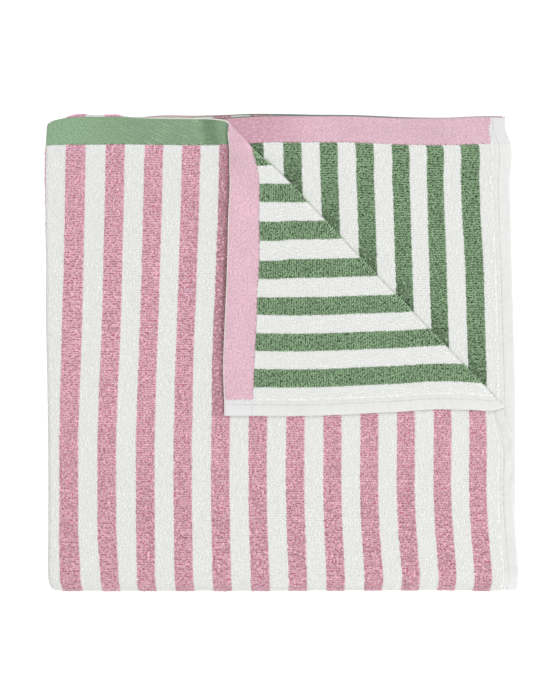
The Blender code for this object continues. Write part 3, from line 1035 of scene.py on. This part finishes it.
# Where each look sets in: the place where there is still none of it, and where it is full.
FADES = {
    "stripes": (PLAIN_MARGIN - 0.0005, PLAIN_MARGIN + 0.0005),
    "border": (END_BORDER + 0.0012, END_BORDER + 0.0006),
    "border_edge": (END_BORDER - 0.0003, END_BORDER + 0.0001),
    "border_side": (SIDE_HEM + 0.0007, SIDE_HEM + 0.0010),
    "hem": (SIDE_HEM + 0.0006, SIDE_HEM + 0.0002),
    "hem_end": (END_BORDER + 0.0002, END_BORDER - 0.0006),
    "hem_end_line": (0.0010, 0.0002),
    "rim": (0.0010, 0.0007),
    "far_end": (LENGTH / 2, LENGTH / 2 + 0.01),
    "far_hem": (0.0045, 0.0038),
    "lower_half": (0.352, 0.354),
    "lower_corner": (0.34, 0.36),
    "pink_left": (0.470, 0.445),
    "pink_right": (0.60, 0.66),
    "crease_streaks": (0.034, 0.014),
}

# The unevenness of yarn and weave, as noise: what places across and along the cloth are multiplied
# by, its scale and detail, and the part of its range that is drawn out to 0 to 1, if any is.
PLAIN_TEXTURE = {"across": 1.0, "along": 1.0, "detail": 2.0, "limits": None}
TEXTURES = {
    "jag": {"scale": 1400},
    "ground": {"scale": 560, "limits": (0.36, 0.64)},
    "loops": {"scale": 800},
    "dashes": {"along": 0.0, "scale": 420, "detail": 1.0, "limits": (0.50, 0.60)},
    "hem_mottle": {"scale": 160, "detail": 3.0},
    "hem_yarns": {"along": 0.5, "scale": 980, "limits": (0.30, 0.70)},
    "hem_waver": {"across": 0.0, "scale": 60},
    "stitches": {"scale": 330, "detail": 1.0, "limits": (0.34, 0.58)},
    "teeth": {"across": 0.0, "scale": 420, "detail": 1.0},
    "ribs": {"across": 0.12, "scale": 2600},
    "mottle": {"scale": 150, "detail": 3.0},
    "clouds": {"scale": 34, "detail": 1.0},
    "yarns": {"across": 0.7, "scale": 860, "limits": (0.32, 0.68)},
    "streaks": {"across": 0.06, "scale": 1050, "detail": 1.0, "limits": (0.50, 0.62)},
    "streak_patches": {"scale": 28, "detail": 1.0, "limits": (0.42, 0.62)},
    "dusky_patches": {"scale": 520, "limits": (0.30, 0.62)},
}


def put(socket, value):
    """Links a node's input to a Value, or sets it to a number or a colour."""
    if isinstance(value, Value):
        socket.id_data.links.new(value.socket, socket)
    else:
        socket.default_value = (*value, 1) if socket.type == "RGBA" else value


class Value:
    """What a node of a material gives out, which takes part in plain arithmetic."""

    def __init__(self, socket):
        self.socket = socket

    def worked(self, operation, *values):
        node = self.socket.id_data.nodes.new("ShaderNodeMath")
        node.operation = operation
        for socket, value in zip(node.inputs, values):
            put(socket, value)
        return Value(node.outputs[0])

    def __add__(self, other):
        return self.worked("ADD", self, other)

    def __sub__(self, other):
        return self.worked("SUBTRACT", self, other)

    def __rsub__(self, other):
        return self.worked("SUBTRACT", other, self)

    def __mul__(self, other):
        return self.worked("MULTIPLY", self, other)

    def __truediv__(self, other):
        return self.worked("DIVIDE", self, other)

    def __abs__(self):
        return self.worked("ABSOLUTE", self)

    def fraction(self):
        return self.worked("FRACT", self)

    def wave(self, length):
        """A sine wave of that length."""
        return self.worked("SINE", self * (2 * math.pi / length))

    def from_edge(self, whole):
        """The distance from the nearer end of a run from 0 to whole."""
        return whole / 2 - abs(self - whole / 2)

    def step(self, low, high):
        """0 below low, 1 above high. High may be the lower one, which turns it round."""
        node = self.socket.id_data.nodes.new("ShaderNodeMapRange")
        node.interpolation_type = "SMOOTHSTEP"
        for name, given in (("Value", self), ("From Min", low), ("From Max", high)):
            put(node.inputs[name], given)
        return Value(node.outputs["Result"])

    def fade(self, name):
        return self.step(*FADES[name])

    def mix(self, first, second):
        """From the first colour at 0 to the second at 1."""
        node = self.socket.id_data.nodes.new("ShaderNodeMix")
        node.data_type = "RGBA"
        put(node.inputs["Factor"], self)
        colours = [s for s in node.inputs if s.type == "RGBA"]
        put(colours[0], first)
        put(colours[1], second)
        return Value(next(s for s in node.outputs if s.type == "RGBA"))


def highest(first, *others):
    for other in others:
        first = first.worked("MAXIMUM", first, other)
    return first


def new_material(name, look):
    """A material with its Principled BSDF node, set to the look."""
    material = bpy.data.materials.new(name)
    material.use_nodes = True
    shader = material.node_tree.nodes["Principled BSDF"]
    for socket, value in look.items():
        shader.inputs[socket].default_value = value
    return material, shader


def uv_map(tree, name):
    """The two coordinates of a UV map, as Values."""
    node = tree.nodes.new("ShaderNodeUVMap")
    node.uv_map = name
    apart = tree.nodes.new("ShaderNodeSeparateXYZ")
    tree.links.new(node.outputs[0], apart.inputs[0])
    return Value(apart.outputs[0]), Value(apart.outputs[1])


def texture(name, x, y):
    """One of the TEXTURES at a place x across the cloth and y along it."""
    look = {**PLAIN_TEXTURE, **TEXTURES[name]}
    nodes = x.socket.id_data.nodes
    point = nodes.new("ShaderNodeCombineXYZ")
    put(point.inputs[0], x * look["across"])
    put(point.inputs[1], y * look["along"])
    node = nodes.new("ShaderNodeTexNoise")
    put(node.inputs["Vector"], Value(point.outputs[0]))
    node.inputs["Scale"].default_value = look["scale"]
    node.inputs["Detail"].default_value = look["detail"]
    found = Value(node.outputs[0])
    return found.step(*look["limits"]) if look["limits"] else found


def bump(height, distance):
    node = height.socket.id_data.nodes.new("ShaderNodeBump")
    node.inputs["Distance"].default_value = distance
    put(node.inputs["Height"], height)
    return Value(node.outputs[0])


def scaled(colour, share):
    return tuple(min(c * share, 1.0) for c in colour)


def cloth_material(name, dye, border, selvedge_from):
    """One face of the sheet: striped terry ground, flat-woven end borders and white side hems."""
    material, shader = new_material(name, CLOTH_LOOK)
    u, v = uv_map(material.node_tree, "cloth")
    from_side, from_end = u.from_edge(WIDTH), v.from_edge(LENGTH)
    jag = (texture("jag", u, v) - 0.5) * JAG
    off = abs(((u + jag - WIDTH / 2) / STRIPE_PITCH).fraction() - 0.5)
    half = STRIPE_WIDTH / 2 / STRIPE_PITCH
    stripe = off.step(half + STRIPE_BLUR, half - STRIPE_BLUR) * from_side.fade("stripes")
    ground = texture("ground", u, v)
    yarn, plain_yarn = YARNS[dye], YARNS["white"]
    # The dyed ground between the loops: painted shade, darker than the roots; the white, their
    # painted light.
    dyed = ground.mix(scaled(yarn["root"], GROUND_PAINTED_SHADE), scaled(yarn["tip"], GROUND_LIGHT))
    plain = ground.mix(plain_yarn["root"], plain_yarn["tip"])
    terry = stripe.mix(plain, dyed)

    terry_end = from_end + jag
    woven, relief = border_weave(u, v, border)
    # Dashes of painted shade along the border's edge, under the first row of loops.
    dark_edge = terry_end.fade("border_edge") * (texture("dashes", u, v) * EDGE_DASHES)
    woven = dark_edge.mix(woven, scaled(BORDERS[border]["painted_shade"], EDGE_SHADE))
    past_hem = (from_side + toothed(u, v)).fade("border_side")
    in_border = terry_end.fade("border") * past_hem
    in_hem = from_side.fade("hem")
    shown = in_hem.mix(terry, hem_cloth(u, v, from_side, from_end))
    shown = in_border.mix(shown, woven)

    at_rim = from_end.fade("rim")
    fade = BORDERS[border]["selvedge_fade"]
    selvedge = at_rim * u.step(selvedge_from + fade, selvedge_from)
    shown = selvedge.mix(shown, SELVEDGE)
    lower = u.fade("lower_half")
    far_hem = v.fade("far_end") * (lower * u.fade("pink_left")) * from_end.fade("far_hem")
    shown = far_hem.mix(shown, FAR_HEM_TONE)
    # The lower half's rim: the border colours, greyed and darker, as painted shade.
    pink_part = highest(u.fade("pink_left"), u.fade("pink_right"))
    shown = (at_rim * lower).mix(shown, pink_part.mix(*LOWER_RIM_IN_PAINTED_SHADE))
    put(shader.inputs["Base Color"], shown)

    woven_share = highest(in_border, in_hem)
    loops = texture("loops", u, v) * LOOP_RELIEF
    height = relief * woven_share + loops * (1.0 - woven_share)
    put(shader.inputs["Normal"], bump(height, RELIEF_DEPTH))
    return material


def hem_cloth(u, v, from_side, from_end):
    """The plain side hem: faintly mottled, with lines of stitching along it, darkened also as painted
    shade in its grooves, and one at its end.
    """
    plain = texture("hem_mottle", u, v).mix(*HEM_TONES)
    plain = (texture("hem_yarns", u, v) * HEM_CONTRAST).mix(plain, STITCH_TONE)
    plain = (from_end.fade("hem_end") * HEM_END_SHARE).mix(plain, HEM_END_TONE)
    lines = [abs(from_end - END_BORDER).fade("hem_end_line") * END_LINE]
    waver = (texture("hem_waver", u, v) - 0.5) * HEM_WAVER
    for row in STITCH_AND_GROOVE_SHADE_LINES:
        gap = abs(from_side + waver - row["at"])
        lines.append(gap.step(row["width"], row["width"] * STITCH_CORE) * row["share"])
    unbroken = texture("stitches", u, v) * STITCH_BREAKS + (1 - STITCH_BREAKS)
    return (highest(*lines) * unbroken).mix(plain, STITCH_TONE)


def toothed(u, v):
    """The border's end at the side hem: short uneven teeth, on a slant at the lower half's corner."""
    uneven = (texture("teeth", u, v) - 0.5) * TOOTH_UNEVEN
    teeth = (v.wave(TOOTH_PITCH) * TOOTH_WAVE + uneven) * TOOTH_DEPTH
    reach, slope = BORDER_END_SLANT
    return teeth + (reach - v * slope) * u.fade("lower_corner")


def border_weave(u, v, border):
    """The end border's colour and relief: fine ribs, slanting streaks with painted highlights,
    painted shade where it bends, and painted light at one end.
    """
    look = BORDERS[border]
    parts = {name: texture(name, u, v) for name in WEAVE_SHARES}
    ribs, mottle, clouds = (parts[name] * share for name, share in WEAVE_SHARES.items())
    tones = (scaled(look["lit"], share) for share in WEAVE_TONES)
    woven = (ribs + mottle + clouds).step(*WEAVE_SPREAD).mix(*tones)

    steep, shallow = STREAK_SLOPE
    streaks = texture("streaks", u * steep - v * shallow, u * shallow + v * steep)
    near_crease = abs(u - CREASE_STREAKS).fade("crease_streaks")
    patches = texture("streak_patches", u, v) * STREAK_PATCHES
    streaks = streaks * highest(patches, near_crease)
    # Painted highlights along the streaks.
    woven = (streaks * look["streaks"]).mix(woven, scaled(look["lit"], STREAK_LIGHT))
    # Painted light: the border lighter towards one end.
    woven = u.step(*look["painted_light_end"]).mix(woven, scaled(look["lit"], PAINTED_END_LIGHT))

    # Bands of painted shade, slanted, wavering and patchy.
    waver = (parts["mottle"] - 0.5) * DUSKY_WAVER
    place = u + (v - END_BORDER / 2) * DUSKY_SLANT + waver
    outer, inner = DUSKY_EDGES
    shade_bands = [abs(place - at).step(half * outer, half * inner) for at, half in look["shade_bands"]]
    everywhere, in_patches = DUSKY_SHARES
    patchy = texture("dusky_patches", u, v) * in_patches + everywhere
    woven = (highest(*shade_bands) * patchy * look["depth"]).mix(woven, look["painted_shade"])
    yarns = texture("yarns", u, v) * WEAVE_CONTRAST
    woven = yarns.mix(woven, scaled(look["lit"], WEAVE_SHADE))

    threads = (v.wave(RIB_PITCH) + u.wave(THREAD_PITCH)) * THREAD_RELIEF
    return woven, threads + parts["ribs"] + streaks


def yarn_material(dye):
    """Looped yarn: painted shade at its roots, painted light at the white yarn's, and a little
    different from loop to loop.
    """
    material, shader = new_material("yarn_" + dye, YARN_LOOK)
    tone, climb = uv_map(material.node_tree, "OFBake")
    colours = YARNS[dye]
    dull, bright = colours["tones"]
    light = tone.mix(scaled(colours["tip"], dull), scaled(colours["tip"], bright))
    # The roots' colour: painted shade, and on the white yarn painted light.
    deep = tone.mix(scaled(colours["root"], dull), scaled(colours["root"], bright))
    put(shader.inputs["Base Color"], climb.step(YARN_FOOT, YARN_TOP).mix(deep, light))
    return material


def add_object(data):
    added = bpy.data.objects.new(data.name, data)
    bpy.context.scene.collection.objects.link(added)
    return added


def add_piece(mesh, materials):
    for material in materials:
        mesh.materials.append(material)
    piece = add_object(mesh)
    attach(piece, "root")
    return piece


def make_cloth():
    face_a = cloth_material("cloth_face_a", "pink", "green", SELVEDGE_END)
    face_b = cloth_material("cloth_face_b", "green", "pink", CREASE_START[0])
    return add_piece(cloth_mesh(), [face_a, face_b])


def make_pile():
    """The loops, sorted by dye into pieces."""
    rng = np.random.default_rng(SEED)
    pieces = []
    for face, roots, dye in ((1, roots_on_a, "pink"), (-1, roots_on_b, "green")):
        a, b = roots(rng)
        v = cloth_from_along(a, b)
        u = cloth_from_across(a, v)
        jitter = rng.uniform(-TERRY_EDGE_JITTER, TERRY_EDGE_JITTER, len(u))
        terry = in_terry(u, v) + jitter > 0.5
        a, b, u, v = a[terry], b[terry], u[terry], v[terry]
        dyed = from_stripe(u) < STRIPE_WIDTH / 2
        place = folded(a, b, np.full_like(a, face * LOOP_ROOT))
        on_crest = (place[:, 1] > HEM_Y) & (place[:, 2] < CREST_LEVEL)
        # Paler loops on the crest of the fold below the hem; on face A, painted shade towards the
        # front.
        pale_crest_and_painted_front_shade = CREST_PALE * on_crest
        if face > 0:
            pale_crest_and_painted_front_shade = pale_crest_and_painted_front_shade - FRONT_PAINTED_SHADE * ramp(v, *FRONT_PAINTED_SHADE_AT)
        a = a + beside_stripe(u)
        frames = loop_frames(a, b, np.full_like(a, face * LOOP_ROOT))
        clear = above_floor(frames)
        frames = tuple(column[clear] for column in frames)
        a, b, u, v, dyed, pale_crest_and_painted_front_shade = (column[clear] for column in (a, b, u, v, dyed, pale_crest_and_painted_front_shade))
        tones = LOOP_TONE * (1 - rng.uniform(0, 1, len(u)) ** 2)
        for share, size in PATCH_TONES:
            tones = tones + share * soft_noise(u, v, size, rng)
        # Painted shade beside the turned corner and at its crease's foot; a painted highlight on its
        # crest.
        tones = np.clip(tones - PAINTED_CREASE_SHADE * crease_shade_and_highlight(a, b, face) + pale_crest_and_painted_front_shade, 0, 1)
        for colour, chosen in ((dye, dyed), ("white", ~dyed)):
            yarn = bpy.data.materials.get("yarn_" + colour) or yarn_material(colour)
            kept = rng.uniform(0, 1, len(chosen)) >= YARNS[colour]["missing"]
            picked = np.flatnonzero(chosen & kept)
            parts = np.array_split(picked, math.ceil(len(picked) / LOOPS_PER_PIECE))
            for i, part in enumerate(parts):
                name = f"pile_{'a' if face > 0 else 'b'}_{colour}_{i + 1}"
                some = tuple(column[part] for column in frames)
                pieces.append(add_piece(pile_mesh(name, some, tones[part], colour, rng), [yarn]))
    return pieces


def points_of(mesh):
    found = np.empty(len(mesh.vertices) * 3, dtype=np.float32)
    mesh.vertices.foreach_get("co", found)
    return found.reshape(-1, 3)


def seat(pieces):
    """Moves the pieces together from the folding frame to the CAD's place for the towel."""
    _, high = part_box("towel")
    furthest = points_of(pieces[0].data).max(axis=0)
    shift = np.array((high[0] - furthest[0], high[1] - furthest[1], 0))
    for piece in pieces:
        moved = points_of(piece.data) + shift
        piece.data.vertices.foreach_set("co", moved.astype(np.float32).ravel())
        piece.data.update()


# The studio: a pale floor, a wide soft light in front, one overhead, and an even sky.
FLOOR_SIZE = 6.0
FLOOR_LOOK = {
    "Base Color": (0.94, 0.94, 0.94, 1),
    "Roughness": 0.9,
    "Emission Color": (1, 1, 1, 1),
    "Emission Strength": 0.45,
}
CAMERA = {"x": -0.0013, "y": 0.0014, "distance": 3.0, "view_height": 0.5236}
LIGHTS = [
    {"name": "front", "place": (1.55, -1.69, 2.57), "size": 1.62, "power": 58},
    {"name": "top", "place": (-0.2, 1.1, 2.3), "size": 2.4, "power": 24},
]
SKY = 0.45


def make_studio():
    scene = bpy.context.scene
    scene.view_settings.view_transform = "Standard"
    scene.cycles.use_denoising = True
    scene.world = bpy.data.worlds.new("sky")
    scene.world.use_nodes = True
    sky = scene.world.node_tree.nodes["Background"]
    sky.inputs["Strength"].default_value = SKY
    sky.inputs["Color"].default_value = (1, 1, 1, 1)
    for row in LIGHTS:
        data = bpy.data.lights.new(row["name"], "AREA")
        data.shape = "DISK"
        data.size = row["size"]
        data.energy = row["power"]
        light = add_object(data)
        light.location = row["place"]
        light.rotation_euler = (-light.location).to_track_quat("-Z", "Y").to_euler()
    make_floor()


def make_floor():
    half = FLOOR_SIZE / 2
    corners = [(-half, -half, 0), (half, -half, 0), (half, half, 0), (-half, half, 0)]
    mesh = bpy.data.meshes.new("floor")
    mesh.from_pydata(corners, [], [(0, 1, 2, 3)])
    mesh.materials.append(new_material("floor_paper", FLOOR_LOOK)[0])
    add_object(mesh)


def make_camera():
    _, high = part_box("towel")
    data = bpy.data.cameras.new("camera")
    data.sensor_width = 36
    data.lens = data.sensor_width * CAMERA["distance"] / CAMERA["view_height"]
    data.clip_end = 20
    camera = add_object(data)
    camera.location = (CAMERA["x"], CAMERA["y"], high[2] + CAMERA["distance"])
    bpy.context.scene.camera = camera


cloth = make_cloth()
pile = make_pile()
seat([cloth, *pile])
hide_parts("towel")
make_studio()
make_camera()
